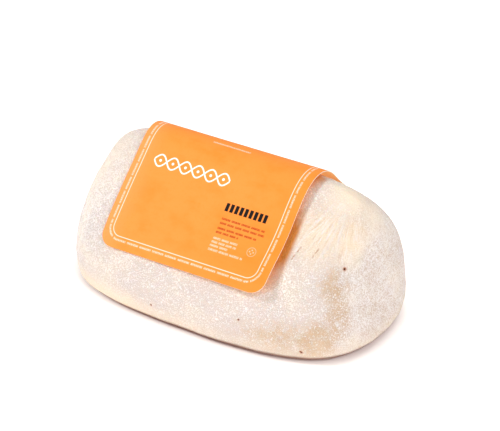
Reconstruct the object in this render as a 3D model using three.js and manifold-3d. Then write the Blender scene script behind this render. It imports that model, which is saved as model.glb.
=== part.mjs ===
// A pyramid cheese: one uncut, hand-pressed loaf with a roof-shaped top, steep plump sides and a
// flat foot, and the printed paper label that is folded over its ridge.
// Units are millimetres. X runs along the loaf, Y across it, and Z is up from the table.
import * as THREE from "three";
import { mergeVertices } from "three/addons/utils/BufferGeometryUtils.js";
import Module from "manifold-3d";

const wasm = await Module();
wasm.setup();

// The loaf is the inside of soft planes, each at a distance from the heart, a point on its middle line
const loafLength = 190;
const loafDepth = 121;
const loafHeight = 87;
const heartHeight = 24.75; // height of the heart above the table
const wallReach = loafDepth / 2; // long sides
const wallLean = -13; // degrees that a long side's normal points up: they hang over the foot
const roofPitch = 43.3; // degrees, the two slopes of the roof
const roofReach = 49.9;
const endReach = loafLength / 2 + 1.2; // short sides
const endLean = 10.6; // degrees that a short side's normal points up
const browReach = 101; // the short sides where they meet the roof
const crownReach = 74.8; // the flat of the ridge
const footReach = 28; // the face that curls under to the table
const pairSharpness = 12; // how tight the edge between two sides that mirror each other is
const cornerSharpness = 2.65; // the round corners between long and short sides
const hipSharpness = 4.9; // the hips between the roof and the short sides
const shoulderSharpness = 8.4; // the edge between the upright sides and the roof
const rimSharpness = 6.7; // the ridge and the foot

// Unevenness of a loaf that was pressed and turned by hand
const waves = [
  { along: 0.041, across: 0.028, up: 0.02, phase: 0.7, height: 0.35 },
  { along: -0.033, across: 0.052, up: 0.047, phase: 2.1, height: 0.3 },
  { along: 0.075, across: 0.061, up: -0.055, phase: 4.4, height: 0.2 },
];
const hollows = [
  { name: "dimple of the cloth knot", at: [80.8, -26.2, 51.8], radius: 8, depth: 1.2 },
  { name: "hollow of the creased slope", at: [63.6, -22.5, 67.8], radius: 20, depth: 0.7 },
];

const loafCells = { along: 36, across: 22, up: 16 }; // faces of the starting box

// The label is a small sheet, folded once over the ridge
const sheetWidth = 105; // along the loaf
const sheetLength = 148; // down the front, and as far down the back
const sheetThickness = 0.4;
const sheetCorner = 7.5; // corner radius
const sheetMiddle = -2.8; // X of the sheet's middle
const sheetForward = 0.6; // the fold lies in front of the ridge
const sheetTurn = -0.2; // degrees, as the sheet was laid a little askew
const sheetGap = 0.4; // air between the sheet and the highest place it rests on
const cornerRows = 6;
const sheetColumns = 10;
const sheetRowStep = 2.4;

// Slope of the sheet in degrees, falling towards the front, at distances in front of the fold. The
// fold is tight at the left end, and rounder and lower at the right end, where the ridge falls
const slopeAt = [-74, -50, -30, -20, -13, -7, -2.5, 2.5, 7, 13, 20, 30, 42, 54, 64, 74];
const sheetEnds = {
  left: {
    rise: 0,
    slopes: [-45, -42, -43, -42, -39, -28, -8, 15, 33, 43, 43.5, 42, 44, 45.5, 49, 53],
  },
  right: {
    rise: -2.2,
    slopes: [-42, -42, -43, -47, -36, -20, -6, 7.5, 21, 34, 43, 48, 40.5, 33.5, 39, 45.5],
  },
};

const radians = THREE.MathUtils.degToRad;

// The soft maximum rounds the edges where planes meet
function softMax(values, sharpness) {
  const top = Math.max(...values, 1e-9);
  const sum = values.reduce((total, value) => total + (value / top) ** sharpness, 0);
  return top * sum ** (1 / sharpness);
}

// How far a direction goes towards a plane, as a share of the plane's distance
function toward(direction, normal, reach) {
  return Math.max(0, direction.dot(normal)) / reach;
}

// A pair of planes that mirror each other, across the loaf or along it
function pair(direction, side, pitch, reach) {
  const shares = [1, -1].map((sign) => {
    const normal = side.clone().multiplyScalar(sign * Math.cos(radians(pitch)));
    normal.z += Math.sin(radians(pitch));
    return toward(direction, normal, reach);
  });
  return softMax(shares, pairSharpness);
}

const across = new THREE.Vector3(0, 1, 0);
const along = new THREE.Vector3(1, 0, 0);
const up = new THREE.Vector3(0, 0, 1);
const down = new THREE.Vector3(0, 0, -1);
const heart = new THREE.Vector3(0, 0, heartHeight);

// Distance from the heart to the even loaf's surface in a direction
function evenReach(direction) {
  const walls = pair(direction, across, wallLean, wallReach);
  const roof = pair(direction, across, 90 - roofPitch, roofReach);
  const ends = pair(direction, along, endLean, endReach);
  const upright = softMax([walls, ends], cornerSharpness);
  const sloping = softMax([roof, (ends * endReach) / browReach], hipSharpness);
  const body = softMax([upright, sloping], shoulderSharpness);
  const rims = [toward(direction, up, crownReach), toward(direction, down, footReach)];
  return 1 / softMax([body, ...rims], rimSharpness);
}

// The waves and hollows at a place on the surface
function unevenness(place) {
  let offset = 0;
  for (const wave of waves) {
    const turn = place.x * wave.along + place.y * wave.across + place.z * wave.up + wave.phase;
    offset += wave.height * Math.sin(turn);
  }
  for (const hollow of hollows) {
    const away = place.distanceTo(new THREE.Vector3(...hollow.at)) / hollow.radius;
    offset -= hollow.depth * Math.exp(-2 * away * away);
  }
  return offset;
}

// Distance from the heart to the real loaf's surface in a direction
function loafReach(direction) {
  const even = evenReach(direction);
  const place = direction.clone().multiplyScalar(even).add(heart);
  return even + unevenness(place);
}

// Boolean work is done on closed meshes with shared vertices
function toSolid(geometry) {
  geometry.deleteAttribute("normal");
  geometry.deleteAttribute("uv");
  const merged = mergeVertices(geometry, 1e-4);
  return new wasm.Manifold(
    new wasm.Mesh({
      numProp: 3,
      vertProperties: merged.attributes.position.array,
      triVerts: new Uint32Array(merged.index.array),
    }),
  );
}

function toGeometry(solid) {
  const mesh = solid.getMesh();
  const geometry = new THREE.BufferGeometry();
  geometry.setAttribute("position", new THREE.BufferAttribute(mesh.vertProperties, 3));
  geometry.setIndex(new THREE.BufferAttribute(mesh.triVerts, 1));
  return geometry;
}

// The loaf: a box whose vertices are sent out from the heart to the surface, cut flat at the table
function makeCheese() {
  const box = new THREE.BoxGeometry(
    loafLength, loafDepth, loafHeight, loafCells.along, loafCells.across, loafCells.up,
  );
  const position = box.attributes.position;
  const direction = new THREE.Vector3();
  for (let i = 0; i < position.count; i++) {
    direction.fromBufferAttribute(position, i).normalize();
    const reach = loafReach(direction);
    direction.multiplyScalar(reach).add(heart);
    position.setXYZ(i, direction.x, direction.y, direction.z);
  }
  const table = new THREE.BoxGeometry(2 * loafLength, 2 * loafDepth, loafHeight);
  table.translate(0, 0, -loafHeight / 2);
  const geometry = toGeometry(toSolid(box).subtract(toSolid(table)));
  const rind = new THREE.MeshStandardMaterial({ color: 0xefe3d3, roughness: 0.9, metalness: 0 });
  return new THREE.Mesh(geometry, rind);
}

// The slope at a distance from the fold, in radians
function slopeOf(slopes, distance) {
  const next = Math.max(slopeAt.findIndex((knot) => knot >= distance), 1);
  const share = (distance - slopeAt[next - 1]) / (slopeAt[next] - slopeAt[next - 1]);
  return radians(THREE.MathUtils.lerp(slopes[next - 1], slopes[next], share));
}

// One end's line of the sheet: how far in front of the fold and how high it is at each distance
function endLine({ rise, slopes }, distances) {
  const line = [];
  let forward = 0;
  let z = rise;
  let before = distances[0];
  for (const distance of distances) {
    const slope = slopeOf(slopes, (before + distance) / 2);
    forward += (distance - before) * Math.cos(slope);
    z -= (distance - before) * Math.sin(slope);
    before = distance;
    line.push({ forward, z, slope: slopeOf(slopes, distance) });
  }
  const fold = { ...line[distances.indexOf(0)] };
  for (const point of line) {
    point.forward -= fold.forward;
    point.z -= fold.z - rise;
  }
  return line;
}

// Rows down one half of the sheet: their distance from the fold, and how far the rounded corner
// draws in their ends
function sheetRows() {
  const half = sheetLength / 2;
  const straight = half - sheetCorner;
  const rows = [];
  const steps = Math.round(straight / sheetRowStep);
  for (let i = 0; i <= steps; i++) {
    rows.push({ distance: (straight * i) / steps, inset: 0 });
  }
  for (let i = 1; i <= cornerRows; i++) {
    const turn = (Math.PI / 2) * (i / cornerRows);
    const distance = straight + sheetCorner * Math.sin(turn);
    rows.push({ distance, inset: sheetCorner * (1 - Math.cos(turn)) });
  }
  return rows;
}

// Straight rulings join the two ends' lines. Each place on the lower face has its outward direction
function sheetRow(row, left, right) {
  const places = [];
  for (let j = 0; j <= sheetColumns; j++) {
    const x = THREE.MathUtils.lerp(row.inset, sheetWidth - row.inset, j / sheetColumns);
    const share = x / sheetWidth;
    const y = -THREE.MathUtils.lerp(left.forward, right.forward, share);
    const z = THREE.MathUtils.lerp(left.z, right.z, share);
    const slope = THREE.MathUtils.lerp(left.slope, right.slope, share);
    const outward = new THREE.Vector3(0, -Math.sin(slope), Math.cos(slope));
    const place = new THREE.Vector3(x - sheetWidth / 2, y, z);
    for (const vector of [place, outward]) {
      vector.applyAxisAngle(up, radians(sheetTurn));
    }
    place.x += sheetMiddle;
    place.y -= sheetForward;
    places.push({ place, outward });
  }
  return places;
}

// The whole sheet, from its back edge over the fold to its front edge
function sheetGrid() {
  const front = sheetRows();
  const back = front.slice(1).reverse();
  const rows = [...back.map(({ distance, inset }) => ({ distance: -distance, inset })), ...front];
  const distances = rows.map((row) => row.distance);
  const left = endLine(sheetEnds.left, distances);
  const right = endLine(sheetEnds.right, distances);
  return rows.map((row, i) => sheetRow(row, left[i], right[i]));
}

// How high the fold must be for the whole sheet to lie clear of the loaf
function restingHeight(grid) {
  const step = 0.05;
  let height = loafHeight;
  for (const { place } of grid.flat()) {
    const spoke = place.clone();
    for (;;) {
      spoke.set(place.x, place.y, place.z + height).sub(heart);
      const distance = spoke.length();
      if (distance > loafReach(spoke.normalize()) + sheetGap) {
        break;
      }
      height += step;
    }
  }
  return height;
}

// The label: the grid's lower and upper faces, closed by a strip round the edge
function makeLabel() {
  const grid = sheetGrid();
  const height = restingHeight(grid);
  const columns = sheetColumns + 1;
  const count = grid.length * columns;
  const points = [];
  for (const lift of [0, sheetThickness]) {
    for (const { place, outward } of grid.flat()) {
      const point = place.clone().addScaledVector(outward, lift);
      points.push(point.x, point.y, point.z + height);
    }
  }
  const faces = [];
  const quad = (a, b, c, d) => faces.push(a, b, c, a, c, d);
  for (let i = 0; i + 1 < grid.length; i++) {
    for (let j = 0; j < sheetColumns; j++) {
      const a = i * columns + j;
      const b = a + columns;
      quad(a, a + 1, b + 1, b);
      quad(count + a, count + b, count + b + 1, count + a + 1);
    }
  }
  const strip = (a, b) => quad(b, count + b, count + a, a);
  for (let i = 0; i + 1 < grid.length; i++) {
    const a = i * columns;
    strip(a, a + columns);
    strip(a + columns + sheetColumns, a + sheetColumns);
  }
  const lastRow = (grid.length - 1) * columns;
  for (let j = 0; j < sheetColumns; j++) {
    strip(j + 1, j);
    strip(lastRow + j, lastRow + j + 1);
  }
  const geometry = new THREE.BufferGeometry();
  geometry.setAttribute("position", new THREE.Float32BufferAttribute(points, 3));
  geometry.setIndex(faces);
  const paper = new THREE.MeshStandardMaterial({ color: 0xf7a14b, roughness: 0.6, metalness: 0 });
  return new THREE.Mesh(geometry, paper);
}

const cheese = makeCheese();
cheese.name = "cheese";
const label = makeLabel();
label.name = "label";

// The origin is under the middle of the whole, on the table
const loaf = new THREE.Group();
loaf.add(cheese, label);
const middle = new THREE.Box3().setFromObject(loaf).getCenter(new THREE.Vector3());
loaf.position.set(-middle.x, -middle.y, 0);

export default loaf;
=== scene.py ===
import math
from functools import reduce

import bpy
import numpy as np
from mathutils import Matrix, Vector
from mathutils.bvhtree import BVHTree


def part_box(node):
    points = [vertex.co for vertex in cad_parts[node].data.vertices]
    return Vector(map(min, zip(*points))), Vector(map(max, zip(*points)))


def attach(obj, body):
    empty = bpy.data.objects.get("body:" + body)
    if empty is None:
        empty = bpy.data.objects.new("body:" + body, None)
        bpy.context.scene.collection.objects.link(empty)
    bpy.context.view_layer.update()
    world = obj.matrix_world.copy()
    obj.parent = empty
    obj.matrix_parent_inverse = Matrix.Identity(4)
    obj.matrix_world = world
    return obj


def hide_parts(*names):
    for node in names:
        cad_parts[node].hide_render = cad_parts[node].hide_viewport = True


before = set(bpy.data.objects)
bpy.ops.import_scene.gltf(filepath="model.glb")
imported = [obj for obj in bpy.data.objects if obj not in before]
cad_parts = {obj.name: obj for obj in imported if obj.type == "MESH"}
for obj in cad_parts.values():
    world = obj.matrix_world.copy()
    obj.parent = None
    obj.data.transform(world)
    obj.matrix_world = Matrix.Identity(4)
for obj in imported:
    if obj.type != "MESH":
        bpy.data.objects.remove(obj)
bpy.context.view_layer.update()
mm = 0.001


def pickOnly(piece):
    bpy.ops.object.select_all(action="DESELECT")
    piece.select_set(True)
    bpy.context.view_layer.objects.active = piece


def finishWith(piece, kind, **settings):
    pickOnly(piece)
    modifier = piece.modifiers.new(kind.title(), kind)
    for setting, value in settings.items():
        setattr(modifier, setting, value)
    bpy.ops.object.modifier_apply(modifier=modifier.name)


def readPlaces(mesh):
    places = np.zeros(len(mesh.vertices) * 3)
    mesh.vertices.foreach_get("co", places)
    return places.reshape(-1, 3) / mm


def writePlaces(mesh, places):
    mesh.vertices.foreach_set("co", (places * mm).ravel())
    mesh.update()


def lineDistance(places, start, end):
    # how far each place lies from a short line
    line = np.subtract(end, start)
    share = np.clip((places - start) @ line / (line @ line), 0, 1)
    return np.linalg.norm(places - start - share[:, None] * line, axis=1)


class Value:
    # an output socket of a material's nodes, so that sums of masks can be written as Python

    def __init__(self, paint, socket):
        self.paint = paint
        self.socket = socket

    def maths(self, operation, *others):
        inputs = dict(enumerate([self, *others]))
        return self.paint.node("ShaderNodeMath", {"operation": operation}, inputs)

    def flipped(self, operation, other):
        return self.paint.node("ShaderNodeMath", {"operation": operation}, {0: other, 1: self})

    def __add__(self, other):
        return self.maths("ADD", other)

    def __sub__(self, other):
        return self.maths("SUBTRACT", other)

    def __mul__(self, other):
        return self.maths("MULTIPLY", other)

    def __truediv__(self, other):
        return self.maths("DIVIDE", other)

    def __pow__(self, other):
        return self.maths("POWER", other)

    def __gt__(self, other):
        return self.maths("GREATER_THAN", other)

    def __abs__(self):
        return self.maths("ABSOLUTE")

    def __rsub__(self, other):
        return self.flipped("SUBTRACT", other)

    def __rtruediv__(self, other):
        return self.flipped("DIVIDE", other)

    __radd__ = __add__
    __rmul__ = __mul__

    def atLeast(self, other):
        return self.maths("MAXIMUM", other)

    def atMost(self, other):
        return self.maths("MINIMUM", other)

    def between(self, low, high):
        # 0 at low and 1 at high, held to that range
        inputs = {"Value": self, "From Min": low, "From Max": high}
        return self.paint.node("ShaderNodeMapRange", {"interpolation_type": "SMOOTHSTEP"}, inputs)


def strongest(masks):
    return reduce(Value.atLeast, masks)


class Paint:
    # one material and the making of its nodes

    def __init__(self, name):
        self.material = bpy.data.materials.new(name)
        self.material.use_nodes = True
        self.material.node_tree.nodes.clear()

    def node(self, kind, settings=None, inputs=None, output=0):
        tree = self.material.node_tree
        made = tree.nodes.new(kind)
        for setting, value in (settings or {}).items():
            setattr(made, setting, value)
        for name, value in (inputs or {}).items():
            if isinstance(value, Value):
                tree.links.new(value.socket, made.inputs[name])
            else:
                made.inputs[name].default_value = value
        return Value(self, made.outputs[output]) if made.outputs else None

    def vectorMaths(self, operation, first, second, output=0):
        return self.node("ShaderNodeVectorMath", {"operation": operation}, {0: first, 1: second}, output)

    def distance(self, place, other):
        return self.vectorMaths("DISTANCE", place, other, output="Value")

    def scaled(self, vector, factor):
        return self.node("ShaderNodeVectorMath", {"operation": "SCALE"}, {0: vector, "Scale": factor})

    def parts(self, vector):
        split = self.node("ShaderNodeSeparateXYZ", inputs={0: vector})
        return [Value(self, split.socket.node.outputs[i]) for i in range(3)]

    def place(self):
        # object coordinates in millimetres
        return self.scaled(self.node("ShaderNodeTexCoord", output="Object"), 1 / mm)

    def noise(self, place, size, detail=2.0, rough=0.5, stretch=(1, 1, 1)):
        mapped = self.node("ShaderNodeMapping", inputs={"Vector": place, "Scale": stretch})
        inputs = {"Vector": mapped, "Scale": 1 / size, "Detail": detail, "Roughness": rough}
        return self.node("ShaderNodeTexNoise", inputs=inputs)

    def mix(self, below, above, mask):
        settings = {"data_type": "RGBA"}
        return self.node("ShaderNodeMix", settings, {0: mask, 6: below, 7: above}, output=2)

    def bump(self, height, distance, strength, below=None):
        inputs = {"Height": height, "Distance": distance * mm, "Strength": strength}
        if below:
            inputs["Normal"] = below
        return self.node("ShaderNodeBump", inputs=inputs)

    def finish(self, fixed, **varying):
        # the shader, with the sockets that stay the same all over and those that vary
        shader = self.node("ShaderNodeBsdfPrincipled", inputs={**varying, **fixed})
        self.node("ShaderNodeOutputMaterial", inputs={"Surface": shader})
        return self.material


def tone(red, green, blue):
    # a colour as a picture editor gives it, 0 to 255, made linear
    parts = [part / 255 for part in (red, green, blue)]
    return [p / 12.92 if p <= 0.04045 else ((p + 0.055) / 1.055) ** 2.4 for p in parts] + [1]


studio = {
    "azimuth": 31.88,  # degrees to the right of the label's front
    "elevation": 29.5,
    "distance": 900,
    "target": (1.76, 9.12, 42.54),
    "lens": 117.2,
    "clip": (50, 20000),
    "lamps": [
        {"from": (-720, -620, 780), "size": 220, "watts": 6.5},
        {"from": (760, -520, 740), "size": 500, "watts": 6.3},
        {"from": (250, 520, 900), "size": 500, "watts": 1.8},
    ],
    "lampAim": (0, 0, 30),
    "sky": 0.48,
    "floor": tone(250, 248, 246),
    "floorSize": 6000,
    "floorRoughness": 0.9,
    # a faint glow keeps the white floor free of all but the closest shadows
    "glow": 0.33,
    "glowTone": tone(255, 244, 238),
    "contactShadowTone": tone(110, 36, 12),
    # close to the loaf's foot the glow is a dark warm tone, a painted contact shadow, which turns to the
    # glow's own tone between two multiples of these half sizes
    "footprint": (90, 52),
    "footprintPower": 2.6,  # 2 is an ellipse, and more is nearer to a rectangle
    "glowStart": (1.0, 1.13),
}


def lookAt(thing, at):
    direction = Vector(at) * mm - thing.location
    thing.rotation_euler = direction.to_track_quat("-Z", "Y").to_euler()


def placeCamera():
    turn, rise = math.radians(studio["azimuth"]), math.radians(studio["elevation"])
    back = Vector((math.sin(turn) * math.cos(rise), -math.cos(turn) * math.cos(rise), math.sin(rise)))
    target = Vector(studio["target"])
    bpy.ops.object.camera_add(location=(target + back * studio["distance"]) * mm)
    camera = bpy.context.object
    camera.data.lens = studio["lens"]
    camera.data.clip_start, camera.data.clip_end = [distance * mm for distance in studio["clip"]]
    lookAt(camera, target)
    bpy.context.scene.camera = camera


def lightStudio():
    for look in studio["lamps"]:
        bpy.ops.object.light_add(type="AREA", location=Vector(look["from"]) * mm)
        lamp = bpy.context.object
        lamp.data.shape = "DISK"
        lamp.data.size = look["size"] * mm
        lamp.data.energy = look["watts"]
        lookAt(lamp, studio["lampAim"])

    world = bpy.data.worlds.new("studio")
    world.use_nodes = True
    background = world.node_tree.nodes["Background"]
    background.inputs["Color"].default_value = (1, 1, 1, 1)
    background.inputs["Strength"].default_value = studio["sky"]
    bpy.context.scene.world = world
    bpy.context.scene.view_settings.view_transform = "Standard"


def layFloor():
    bpy.ops.mesh.primitive_plane_add(size=studio["floorSize"] * mm)
    floor = bpy.context.object
    floor.name = "floor"
    paint = Paint("floor")
    x, y, _ = paint.parts(paint.place())
    long, deep = studio["footprint"]
    power = studio["footprintPower"]
    around = ((abs(x) / long) ** power + (abs(y) / deep) ** power) ** (1 / power)
    # painted contact shadow: the floor's glow is dark and warm round the foot
    glow = paint.mix(studio["contactShadowTone"], studio["glowTone"], around.between(*studio["glowStart"]))
    fixed = {
        "Base Color": studio["floor"],
        "Roughness": studio["floorRoughness"],
        "Emission Strength": studio["glow"],
    }
    floor.data.materials.append(paint.finish(fixed, **{"Emission Color": glow}))


placeCamera()
lightStudio()
layFloor()
print("studio set")


loafLook = {
    "weld": 0.01,  # the solid's loose corners are merged within this distance
    "cell": 1.05,
    "smoothing": 30,  # passes
    "footBand": 5,  # the unevenness fades out over this height above the table
    "swells": [{"size": 26, "height": 0.9}, {"size": 9, "height": 0.45}, {"size": 3.2, "height": 0.22}],
    # creases that the draining cloth pressed into the slope: a raised fold or a slit between two places
    "creases": [
        {"from": (69.9, -7.8, 77.3), "to": (65.1, -24.8, 65.7), "width": 0.9, "height": 0.35},
        {"from": (65.1, -24.8, 65.7), "to": (60.5, -37.0, 56.1), "width": 0.9, "height": 0.3},
        {"from": (72.1, -11.4, 73.7), "to": (74.4, -19.5, 65.9), "width": 1.0, "height": 0.35},
        {"from": (74.4, -19.5, 65.9), "to": (75.3, -27.0, 58.7), "width": 1.0, "height": 0.25},
        {"from": (64.6, -11.0, 77.2), "to": (58.5, -25.8, 66.5), "width": 0.9, "height": 0.3},
        {"from": (58.5, -25.8, 66.5), "to": (55.6, -34.7, 59.4), "width": 0.8, "height": 0.25},
        {"from": (68.0, -8.5, 77.6), "to": (63.5, -26.0, 65.5), "width": 0.7, "height": 0.25},
        {"from": (71.0, -13.5, 73.0), "to": (70.5, -28.0, 60.8), "width": 0.8, "height": 0.3},
        {"from": (70.5, -28.0, 60.8), "to": (68.5, -33.5, 56.5), "width": 0.8, "height": 0.25},
        {"from": (55.8, -38.0, 56.3), "to": (58.6, -32.5, 60.6), "width": 0.5, "height": -0.3},
        {"from": (66.2, -33.4, 57.6), "to": (66.9, -29.5, 61.0), "width": 0.5, "height": -0.35},
    ],
    # small holes: the knot's pinhole, a nick near the foot and two pores
    "holes": [
        {"at": (81.1, -26.4, 51.8), "width": 0.58, "depth": 0.5},
        {"at": (69.0, -48.6, 8.5), "width": 0.46, "depth": 0.4},
        {"at": (68.5, -49.0, 9.1), "width": 0.38, "depth": 0.3},
        {"at": (-18.5, -58.9, 14.0), "width": 0.4, "depth": 0.3},
        {"at": (37.0, -59.2, 23.8), "width": 0.4, "depth": 0.3},
    ],
    # where the flour is rubbed off or never took
    "worn": [
        {"at": (80, -35, 44), "reach": (8, 9, 14), "much": 0.9},
        {"at": (83, -36, 28), "reach": (7, 9, 16), "much": 0.9},
        {"at": (76, -45, 16), "reach": (16, 9, 11), "much": 1.3},
        {"at": (58, -54, 17), "reach": (24, 9, 10), "much": 0.9},
        {"at": (79, -12, 66), "reach": (6, 11, 12), "much": 0.7},
        {"at": (62, -24, 68), "reach": (16, 20, 16), "much": 0.45},
        {"at": (94, 2, 36), "reach": (14, 50, 44), "much": 0.5},
    ],
    # fine streaks that spread from the cloth's knot over the slope
    "fan": {"from": (71.5, -3, 79.5), "fine": 24, "long": 13, "where": [
        {"at": (66, -24, 66), "reach": (11, 15, 13), "much": 1.0},
        {"at": (76, -20, 64), "reach": (8, 12, 13), "much": 0.9},
    ]},
    # where the flour lies thicker
    "floury": [
        {"at": (-82, -30, 50), "reach": (22, 36, 36), "much": 0.13},
        {"at": (94, 2, 36), "reach": (14, 50, 44), "much": 0.12},
    ],
    # where the rind is smooth and creamy
    "smooth": [
        {"at": (70, 2, 80), "reach": (14, 16, 12), "much": 1.0},
        {"at": (79, 6, 72), "reach": (12, 14, 12), "much": 0.7},
        {"at": (80, -14, 63), "reach": (6, 12, 12), "much": 0.6},
        {"at": (60, -24, 68), "reach": (15, 18, 16), "much": 0.3},
        {"at": (-82, -8, 68), "reach": (26, 32, 22), "much": 0.5},
        {"at": (-60, -54, 7), "reach": (50, 12, 9), "much": 0.8},
    ],
}


def shapeLoaf():
    loaf = bpy.data.objects.new("loaf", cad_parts["cheese"].data.copy())
    bpy.context.scene.collection.objects.link(loaf)
    loaf.data.materials.clear()
    pickOnly(loaf)
    bpy.ops.object.mode_set(mode="EDIT")
    bpy.ops.mesh.select_all(action="SELECT")
    bpy.ops.mesh.remove_doubles(threshold=loafLook["weld"] * mm)
    bpy.ops.object.mode_set(mode="OBJECT")
    finishWith(loaf, "REMESH", mode="VOXEL", voxel_size=loafLook["cell"] * mm)
    finishWith(loaf, "SMOOTH", factor=0.5, iterations=loafLook["smoothing"])
    return loaf


def unevenLoaf(loaf):
    band = loaf.vertex_groups.new(name="aboveFoot")
    heights = readPlaces(loaf.data)[:, 2] / loafLook["footBand"]
    for index, share in enumerate(np.clip(heights, 0, 1)):
        band.add([index], float(share), "REPLACE")
    for swell in loafLook["swells"]:
        clouds = bpy.data.textures.new("swell", "CLOUDS")
        clouds.noise_scale = swell["size"] * mm
        clouds.noise_depth = 1
        finishWith(
            loaf, "DISPLACE", texture=clouds, texture_coords="LOCAL", mid_level=0.5,
            strength=swell["height"] * mm, vertex_group="aboveFoot",
        )
    loaf.vertex_groups.clear()


def pressLoaf(loaf):
    # creases and holes are moved onto the rind before they are pressed, and stay there for the paint
    mesh = loaf.data
    places = readPlaces(mesh)
    normals = np.array([vertex.normal for vertex in mesh.vertices])

    def nearest(place):
        return np.linalg.norm(places - place, axis=1).argmin()

    lift = np.zeros(len(places))
    for crease in loafLook["creases"]:
        for end in ("from", "to"):
            crease[end] = places[nearest(crease[end])].tolist()
        away = lineDistance(places, crease["from"], crease["to"])
        lift += crease["height"] * np.exp(-((away / crease["width"]) ** 2))
    for hole in loafLook["holes"]:
        beside = nearest(hole["at"])
        rim = hole["at"] + normals[beside] * ((places[beside] - hole["at"]) @ normals[beside])
        away = np.linalg.norm(places - rim, axis=1)
        lift -= hole["depth"] * np.exp(-((away / hole["width"]) ** 2))
        hole["at"] = (rim - normals[beside] * hole["depth"] / 2).tolist()
    places += normals * lift[:, None]
    places[:, 2] = np.maximum(places[:, 2], 0)
    writePlaces(mesh, places)


rindLook = {
    "flour": tone(247, 239, 235),
    "crust": tone(223, 206, 196),
    "bare": tone(207, 176, 145),
    "cream": tone(249, 228, 200),
    "labelShadow": tone(204, 126, 50),
    "slit": tone(196, 146, 110),
    "halo": tone(186, 104, 56),
    "pitShade": tone(16, 4, 1),
    # painted contact shade: a dark brown band at the loaf's lowest edge
    "foot": tone(118, 58, 34),
    # the sizes of what varies over the rind
    "grain": 0.7,
    "clumps": 2.4,
    "rubs": 5,
    "drift": 17,
    "flourShows": (1.1, 1.42),  # the thickness where flour begins to show and where it covers
    "patchEdge": (1.7, 0.1),  # a patch fades in between these shares of its reach
    "creaseEdge": (1.3, 0.2),  # the same for a crease's width
    "haloEdge": (2.6, 0.9),  # and for a hole's, tan ring and pit of painted shade
    "pitShadeEdge": (1, 0.7),
    "creamHeights": (16, 4),
    "footHeights": (6, 3.4),
    "flourRelief": 0.35,
    "grainRelief": 0.2,
    "roughness": 0.86,
    # the label's painted shadow, warm as if lit through the paper: the sheet is moved by the shift, and the
    # painted shadow fades over the reach
    "labelShadowShift": (2.2, 0.4, -1.4),
    "labelShadowReach": (0.9, 2.7),
    "labelShadowSearch": 4.86,  # no painted shadow lies further off than this
    "labelShadowFrom": (38, 46),  # how far to the right the painted shadow begins and is full
    "cornerHeights": (45, 62),
    "cornerShares": (0.5, 1),  # distances count less at the lower height, where the sheet stands off
}


def blobs(paint, place, patches):
    # soft patches on the surface, each an ellipsoid round a place
    masks = []
    for patch in patches:
        inputs = {
            "Vector": place,
            "Location": [-at / reach for at, reach in zip(patch["at"], patch["reach"])],
            "Scale": [1 / reach for reach in patch["reach"]],
        }
        around = paint.node("ShaderNodeMapping", inputs=inputs)
        away = paint.distance(around, (0, 0, 0))
        masks.append(away.between(*rindLook["patchEdge"]) * patch["much"])
    return strongest(masks)


def creaseMask(paint, place, creases):
    # 1 on the lines, 0 beside them
    masks = []
    for crease in creases:
        start, end = Vector(crease["from"]), Vector(crease["to"])
        line = end - start
        offset = paint.vectorMaths("SUBTRACT", place, start)
        share = paint.vectorMaths("DOT_PRODUCT", offset, line / line.length_squared, output="Value")
        along = paint.scaled(line, share.atLeast(0).atMost(1))
        away = paint.distance(offset, along) / crease["width"]
        masks.append(away.between(*rindLook["creaseEdge"]))
    return strongest(masks)


def dustRind(paint, place, grain, clumps, drift):
    # the flour lies in grains over the crust, thick here and thin there
    look = rindLook
    rubs = paint.noise(place, look["rubs"], detail=3, rough=0.6)
    worn = blobs(paint, place, loafLook["worn"]) * (rubs.between(0.25, 0.62) * 0.8 + 0.2)
    floury = blobs(paint, place, loafLook["floury"])
    thick = grain * 1.9 + clumps * 0.35 + drift * 0.25 + floury - worn * 0.13
    flour = thick.between(*look["flourShows"])
    crust = paint.mix(look["crust"], look["bare"], worn.between(0, 0.9))
    return paint.mix(crust, look["flour"], flour), flour


def fanStreaks(paint, place):
    # noise drawn out along the lines that spread from one place
    fan = loafLook["fan"]
    offset = paint.vectorMaths("SUBTRACT", place, fan["from"])
    away = paint.distance(place, fan["from"])
    sideways = paint.parts(offset)[0] / (away + 3) * fan["fine"]
    drawn = paint.node("ShaderNodeCombineXYZ", inputs={"X": sideways, "Y": away / fan["long"]})
    return paint.noise(drawn, 1, detail=3, rough=0.6)


def creaseRind(paint, place, colour, clumps):
    # the cloth's marks: fine streaks, raised folds and slits
    look = rindLook
    streaks = fanStreaks(paint, place)
    fan = blobs(paint, place, loafLook["fan"]["where"])
    colour = paint.mix(colour, look["cream"], fan * 0.7)
    colour = paint.mix(colour, look["flour"], fan * streaks.between(0.5, 0.66) * 0.8)
    colour = paint.mix(colour, look["slit"], fan * streaks.between(0.47, 0.34) * clumps * 0.6)
    raised = [crease for crease in loafLook["creases"] if crease["height"] > 0]
    slits = [crease for crease in loafLook["creases"] if crease["height"] < 0]
    colour = paint.mix(colour, look["flour"], creaseMask(paint, place, raised) * 0.35)
    colour = paint.mix(colour, look["slit"], creaseMask(paint, place, slits) * clumps.between(0.35, 0.6))
    return colour, fan * streaks


def pitRind(paint, place, colour):
    # each hole is painted dark inside, painted shade in the pit, with a tan ring round it
    look = rindLook
    for hole in loafLook["holes"]:
        away = paint.distance(place, hole["at"]) / hole["width"]
        colour = paint.mix(colour, look["halo"], away.between(*look["haloEdge"]) * 0.85)
        colour = paint.mix(colour, look["pitShade"], away.between(*look["pitShadeEdge"]))
    return colour


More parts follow.
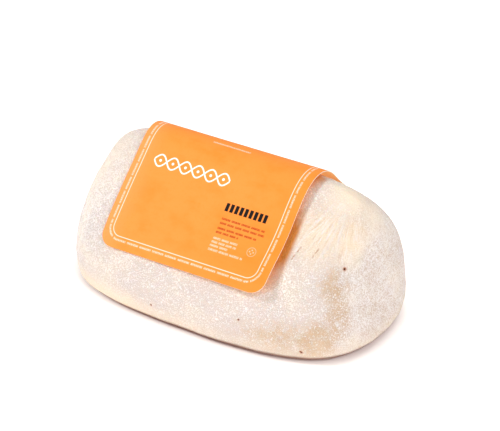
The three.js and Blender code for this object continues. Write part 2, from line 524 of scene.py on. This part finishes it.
def paintRind():
    look = rindLook
    paint = Paint("rind")
    place = paint.place()
    grain = paint.noise(place, look["grain"], detail=3, rough=0.7)
    clumps = paint.noise(place, look["clumps"], detail=3, rough=0.6)
    drift = paint.noise(place, look["drift"], detail=2)
    smooth = blobs(paint, place, loafLook["smooth"])

    colour, flour = dustRind(paint, place, grain, clumps, drift)
    colour = paint.mix(colour, look["cream"], drift.between(0.42, 0.7) * 0.25)
    colour = paint.mix(colour, look["cream"], smooth * (clumps * 0.6 + 0.45))
    colour, streaks = creaseRind(paint, place, colour, clumps)
    # painted shadow of the label beside its right end
    labelShadow = paint.node("ShaderNodeAttribute", {"attribute_name": "labelShadow"}, output="Fac")
    colour = paint.mix(colour, look["labelShadow"], labelShadow * (0.75 + grain * 0.5))
    height = paint.parts(place)[2]
    colour = paint.mix(colour, look["cream"], height.between(*look["creamHeights"]) * 0.4)
    # painted contact shade along the bottom edge, fading out above the lowest few millimetres
    colour = paint.mix(colour, look["foot"], height.between(*look["footHeights"]) * 0.8)
    colour = pitRind(paint, place, colour)

    heights = flour * (1 - smooth * 0.7) * 0.6 + clumps * 0.4 + streaks * 1.2
    normal = paint.bump(heights, look["flourRelief"], strength=0.8)
    normal = paint.bump(grain, look["grainRelief"], strength=0.8, below=normal)
    fixed = {
        "Specular IOR Level": 0.3,
        "Subsurface Weight": 0.12,
        "Subsurface Radius": (1.0, 0.35, 0.12),
        "Subsurface Scale": 2 * mm,
    }
    varying = {"Base Color": colour, "Normal": normal, "Roughness": look["roughness"] - smooth * 0.2}
    return paint.finish(fixed, **varying)


def shadeRindBesideLabel(loaf, sheet):
    # the label's shadow is painted into the rind beside its right end, warm like the paper
    look = rindLook
    corners = [Vector(place) for place in readPlaces(sheet.data) + look["labelShadowShift"]]
    tree = BVHTree.FromPolygons(corners, [list(face.vertices) for face in sheet.data.polygons])
    marks = np.zeros(len(loaf.data.vertices))
    for index, place in enumerate(readPlaces(loaf.data)):
        distance = tree.find_nearest(Vector(place), look["labelShadowSearch"])[3]
        if distance is not None:
            distance *= np.interp(place[2], look["cornerHeights"], look["cornerShares"])
            share = np.interp(place[0], look["labelShadowFrom"], (0, 1))
            marks[index] = share * np.interp(distance, look["labelShadowReach"], (1, 0))
    attribute = loaf.data.attributes.new("labelShadow", "FLOAT", "POINT")
    attribute.data.foreach_set("value", marks)


def makeLoaf(sheet):
    loaf = shapeLoaf()
    unevenLoaf(loaf)
    pressLoaf(loaf)
    shadeRindBesideLabel(loaf, sheet)
    loaf.data.materials.append(paintRind())
    pickOnly(loaf)
    bpy.ops.object.shade_smooth()
    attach(loaf, "root")
    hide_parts("cheese")
    print("loaf made:", len(loaf.data.polygons), "faces")


sheetLook = {
    "width": 105,  # along the loaf
    "length": 148,  # down the front and the back
    "thickness": 0.4,
    "corner": 7.5,
    "cornerSteps": 10,
    "step": 2.5,
    "middle": (-1.95, -0.78),
    "turn": -0.2,
    "drop": 2.2,  # how much lower the fold's right end is
    "sink": 0.25,  # how far the fold is set below the solid label's
    # slopes in degrees at distances in front of the fold, at the sheet's left and right ends
    "slopeAt": (-74, -50, -30, -20, -13, -7, -2.5, 2.5, 7, 13, 20, 30, 42, 54, 64, 74),
    "left": (-45, -42, -43, -42, -39, -28, -8, 15, 33, 43, 43.5, 42, 44, 45.5, 49, 53),
    "right": (-42, -42, -43, -47, -36, -20, -6, 7.5, 21, 34, 43, 48, 40.5, 33.5, 39, 45.5),
    "slopeSteps": 1480,
    "sharpEdge": 40,  # degrees
}


def cutSheet():
    look = sheetLook
    bpy.ops.mesh.primitive_plane_add(size=1)
    sheet = bpy.context.object
    sheet.name = "paperLabel"
    sheet.scale = (look["width"] * mm, look["length"] * mm, 1)
    bpy.ops.object.transform_apply(scale=True)
    bpy.ops.object.mode_set(mode="EDIT")
    bpy.ops.mesh.select_all(action="SELECT")
    bpy.ops.mesh.bevel(offset=look["corner"] * mm, segments=look["cornerSteps"], affect="VERTICES")
    for axis, size in ((0, look["width"]), (1, look["length"])):
        cuts = round(size / look["step"])
        for i in range(1, cuts):
            spot, normal = [0, 0, 0], [0, 0, 0]
            spot[axis] = (i / cuts - 0.5) * size * mm
            normal[axis] = 1
            bpy.ops.mesh.select_all(action="SELECT")
            bpy.ops.mesh.bisect(plane_co=spot, plane_no=normal)
    bpy.ops.object.mode_set(mode="OBJECT")
    return sheet


def mapSheet(sheet):
    # the print follows the flat sheet: the map's whole square is as wide as the sheet is long
    mesh = sheet.data
    flat = readPlaces(mesh) / sheetLook["length"] + 0.5
    for loop in mesh.loops:
        mesh.uv_layers.active.data[loop.index].uv = flat[loop.vertex_index][:2]


def endLine(slopes, distance):
    # how far forward and down the sheet's end is at each distance in front of the fold
    half = sheetLook["length"] / 2
    fine = np.linspace(-half, half, sheetLook["slopeSteps"] + 1)
    slope = np.radians(np.interp(fine, sheetLook["slopeAt"], slopes))
    line = []
    for part in (np.cos(slope), np.sin(slope)):
        along = np.concatenate([[0], np.cumsum((part[1:] + part[:-1]) / 2 * (fine[1] - fine[0]))])
        line.append(np.interp(distance, fine, along) - np.interp(0, fine, along))
    return line


def foldSheet(sheet):
    look = sheetLook
    flat = readPlaces(sheet.data)
    share = flat[:, 0] / look["width"] + 0.5
    left, right = endLine(look["left"], -flat[:, 1]), endLine(look["right"], -flat[:, 1])
    x = flat[:, 0]
    y = -left[0] * (1 - share) - right[0] * share
    down = left[1] * (1 - share) + (right[1] + look["drop"]) * share
    turn = math.radians(look["turn"])
    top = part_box("label")[1].z / mm - look["thickness"]
    folded = np.column_stack([
        x * math.cos(turn) - y * math.sin(turn) + look["middle"][0],
        x * math.sin(turn) + y * math.cos(turn) + look["middle"][1],
        top - look["sink"] - down,
    ])
    writePlaces(sheet.data, folded)


printLook = {
    "paper": tone(252, 149, 62),
    "deep": tone(250, 139, 46),
    # the next two tones are painted light: a darker shade towards the lower right and a sheen at the left
    "richShade": tone(250, 136, 34),
    "paintedSheen": tone(254, 156, 84),
    "line": tone(255, 230, 208),
    "white": tone(255, 250, 240),
    "black": tone(12, 6, 4),
    "brown": tone(178, 50, 6),
    # the inside's orange is partly painted orange bounce, and its glow is painted light let through the
    # paper
    "inside": tone(250, 190, 120),
    "insidePaintedGlow": 0.44,
    "edge": tone(250, 238, 222),
    # the sizes of what varies over the paper
    "wash": 16,
    "grain": 1.4,
    "strokes": 0.6,
    "fibre": 0.5,
    "relief": 0.05,
    "frame": {"left": 5.4, "right": 98.0, "reach": 67.2, "corner": 5.5, "wide": 0.45, "ink": 0.95},
    "row": {"out": 2.1, "tall": 1.1, "pitch": 8.4, "gap": 1.0, "ink": 0.2, "uneven": 0.5},
    "braid": {"from": 12, "to": 61, "mid": 20.5, "high": 3.4, "eyes": 6, "wide": 0.85, "dot": 0.8},
    "blocks": {"from": 64.6, "to": 90.2, "top": 31.8, "low": 36.4, "count": 9, "gap": 0.9},
    "bars": [
        {"v": 40.7, "from": 64.8, "to": 91.7, "pitch": 6.1, "ink": "brown"},
        {"v": 43.2, "from": 64.8, "to": 92.3, "pitch": 4.7, "ink": "brown"},
        {"v": 46.2, "from": 64.8, "to": 89.0, "pitch": 5.5, "ink": "brown"},
        {"v": 48.5, "from": 64.8, "to": 79.0, "pitch": 4.3, "ink": "brown"},
        {"v": 52.0, "from": 65.0, "to": 80.5, "pitch": 5.2, "ink": "line"},
        {"v": 54.2, "from": 65.0, "to": 80.5, "pitch": 4.4, "ink": "line"},
        {"v": 56.3, "from": 65.0, "to": 76.5, "pitch": 5.8, "ink": "line"},
        {"v": 58.6, "from": 65.0, "to": 86.5, "pitch": 6.6, "ink": "line"},
        {"v": 0.2, "from": 39.0, "to": 63.0, "pitch": 30, "ink": "line"},
    ],
    "bar": {"tall": 1.2, "gap": 0.7, "brown": 0.45, "line": 0.2, "uneven": 0.4},
    "ring": {"at": (89.7, 53.3), "radius": 2.5, "wide": 0.3, "dots": 1.1, "dot": 0.45, "ink": 0.45},
    "blur": 0.25,
}


def ink(distance):
    # 1 where a distance from an outline is below 0
    return distance.between(printLook["blur"] / 2, -printLook["blur"] / 2)


def roundedBox(across, down, half, corner):
    # distance from a rounded rectangle's outline, below 0 inside, and how far into a corner it is
    outX = abs(across) - (half[0] - corner)
    outY = abs(down) - (half[1] - corner)
    outer = (outX.atLeast(0) ** 2 + outY.atLeast(0) ** 2) ** 0.5
    return outer + outX.atLeast(outY).atMost(0) - corner, outX, outY


def bar(across, down, box):
    # a plain rectangle from its left, right, top and low edges
    left, right, top, low = box
    wide = abs(across - (left + right) / 2) - (right - left) / 2
    tall = abs(down - (top + low) / 2) - (low - top) / 2
    return ink(wide.atLeast(tall))


def dashes(along, pitch, gap):
    beat = along.maths("FLOORED_MODULO", pitch)
    return ink(abs(beat - pitch / 2) - (pitch - gap) / 2)


def washPaper(paint, millimetres, across, down, grain):
    # mottled orange, lighter at the left as a painted sheen and richer at the lower right as painted shade
    look = printLook
    wash = paint.noise(millimetres, look["wash"], detail=3, rough=0.6, stretch=(1, 1.6, 1))
    colour = paint.mix(look["deep"], look["paper"], wash.between(0.2, 0.6))
    colour = paint.mix(colour, look["paintedSheen"], (across + wash * 14).between(24, 6) * 0.9)
    colour = paint.mix(colour, look["richShade"], (across + down * 0.8).between(85, 140) * 0.4)
    return paint.mix(colour, look["deep"], grain.between(0.5, 0.75) * 0.4)


def frameMask(across, down, strokes):
    # the thin frame and the row of dashes outside it
    border, row = printLook["frame"], printLook["row"]
    middle = (border["left"] + border["right"]) / 2
    half = ((border["right"] - border["left"]) / 2, border["reach"])
    out, outX, outY = roundedBox(across - middle, down, half, border["corner"])
    inCorner = (outX > 0) * (outY > 0)
    beside = outX > outY
    straight = down * beside + across * (1 - beside)
    turned = outY.maths("ARCTAN2", outX) * (border["corner"] + row["out"])
    along = turned * inCorner + straight * (1 - inCorner)
    line = ink(abs(out) - border["wide"] / 2) * border["ink"]
    dashed = ink(abs(out - row["out"]) - row["tall"] / 2) * dashes(along, row["pitch"], row["gap"])
    return line.atLeast(dashed * (strokes * row["uneven"] + row["ink"]))


def braidMask(across, down):
    # two waves that cross, with a dot in each eye
    braid = printLook["braid"]
    turns = math.pi * braid["eyes"] / (braid["to"] - braid["from"])
    phase = (across - braid["from"]) * turns
    wave = phase.maths("SINE") * braid["high"]
    steep = (phase.maths("COSINE") * (braid["high"] * turns)) ** 2
    thin = (steep + 1) ** 0.5
    offset = down - braid["mid"]
    strand = abs(abs(offset) - abs(wave)) / thin - braid["wide"] / 2
    eye = (braid["to"] - braid["from"]) / braid["eyes"]
    fromDot = (across - braid["from"]).maths("FLOORED_MODULO", eye) - eye / 2
    dot = (fromDot ** 2 + offset ** 2) ** 0.5 - braid["dot"]
    clear = braid["high"] * 2
    inside = bar(across, down, (braid["from"], braid["to"], braid["mid"] - clear, braid["mid"] + clear))
    return ink(strand.atMost(dot)) * inside


def blockMask(across, down):
    # a row of plain blocks where a name would be
    blocks = printLook["blocks"]
    pitch = (blocks["to"] - blocks["from"] + blocks["gap"]) / blocks["count"]
    row = bar(across, down, (blocks["from"], blocks["to"], blocks["top"], blocks["low"]))
    return row * dashes(across - blocks["from"] + blocks["gap"] / 2, pitch, blocks["gap"])


def barMask(across, down, strokes, name):
    # the rows of short bars in one ink, where small print would be
    shape = printLook["bar"]
    masks = []
    for line in printLook["bars"]:
        if line["ink"] == name:
            box = (line["from"], line["to"], line["v"] - shape["tall"] / 2, line["v"] + shape["tall"] / 2)
            masks.append(bar(across, down, box) * dashes(across - line["from"], line["pitch"], shape["gap"]))
    return strongest(masks) * (strokes * shape["uneven"] + shape[name])


def ringMask(across, down):
    # a ring with four dots
    ring = printLook["ring"]
    sideways, upright = abs(across - ring["at"][0]), abs(down - ring["at"][1])
    away = (sideways ** 2 + upright ** 2) ** 0.5
    far, near = sideways.atLeast(upright), sideways.atMost(upright)
    dots = ((far - ring["dots"]) ** 2 + near ** 2) ** 0.5 - ring["dot"]
    return ink(dots.atMost(abs(away - ring["radius"]) - ring["wide"] / 2)) * ring["ink"]


def paintPrint():
    look = printLook
    paint = Paint("labelPrint")
    flat = paint.node("ShaderNodeUVMap")
    x, y, _ = paint.parts(flat)
    across = (x - 0.5) * sheetLook["length"] + sheetLook["width"] / 2
    down = (0.5 - y) * sheetLook["length"]
    millimetres = paint.scaled(flat, sheetLook["length"])
    grain = paint.noise(millimetres, look["grain"], detail=3, rough=0.6)
    strokes = paint.noise(millimetres, look["strokes"], detail=1).between(0.35, 0.6)

    pale = [frameMask(across, down, strokes), barMask(across, down, strokes, "line"), ringMask(across, down)]
    colour = washPaper(paint, millimetres, across, down, grain)
    colour = paint.mix(colour, look["line"], strongest(pale))
    colour = paint.mix(colour, look["brown"], barMask(across, down, strokes, "brown"))
    colour = paint.mix(colour, look["white"], braidMask(across, down))
    colour = paint.mix(colour, look["black"], blockMask(across, down))
    normal = paint.bump(grain, look["relief"], strength=0.35)
    varying = {"Base Color": colour, "Normal": normal, "Roughness": 0.5 + grain * 0.14}
    return paint.finish({"Specular IOR Level": 0.15}, **varying)


def paintPaper(name, colour, glow=0):
    # bare paper; where a glow is given, it is painted light for the light that comes through the paper
    paint = Paint(name)
    fibre = paint.noise(paint.place(), printLook["fibre"], detail=3, rough=0.7)
    darker = [part * 0.9 for part in colour[:3]] + [1]
    mixed = paint.mix(darker, colour, fibre.between(0.35, 0.65))
    normal = paint.bump(fibre, printLook["relief"], strength=0.4)
    fixed = {"Roughness": 0.75, "Emission Color": colour, "Emission Strength": glow}
    return paint.finish(fixed, **{"Base Color": mixed, "Normal": normal})


def makeLabel():
    sheet = cutSheet()
    mapSheet(sheet)
    foldSheet(sheet)
    sheet.data.materials.append(paintPrint())
    sheet.data.materials.append(paintPaper("labelInside", printLook["inside"], printLook["insidePaintedGlow"]))
    sheet.data.materials.append(paintPaper("labelEdge", printLook["edge"]))
    finishWith(
        sheet, "SOLIDIFY", thickness=sheetLook["thickness"] * mm, offset=1,
        material_offset=1, material_offset_rim=2,
    )
    pickOnly(sheet)
    bpy.ops.object.shade_smooth_by_angle(angle=math.radians(sheetLook["sharpEdge"]))
    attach(sheet, "root")
    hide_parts("label")
    print("label made:", len(sheet.data.polygons), "faces")
    return sheet


label = makeLabel()
makeLoaf(label)
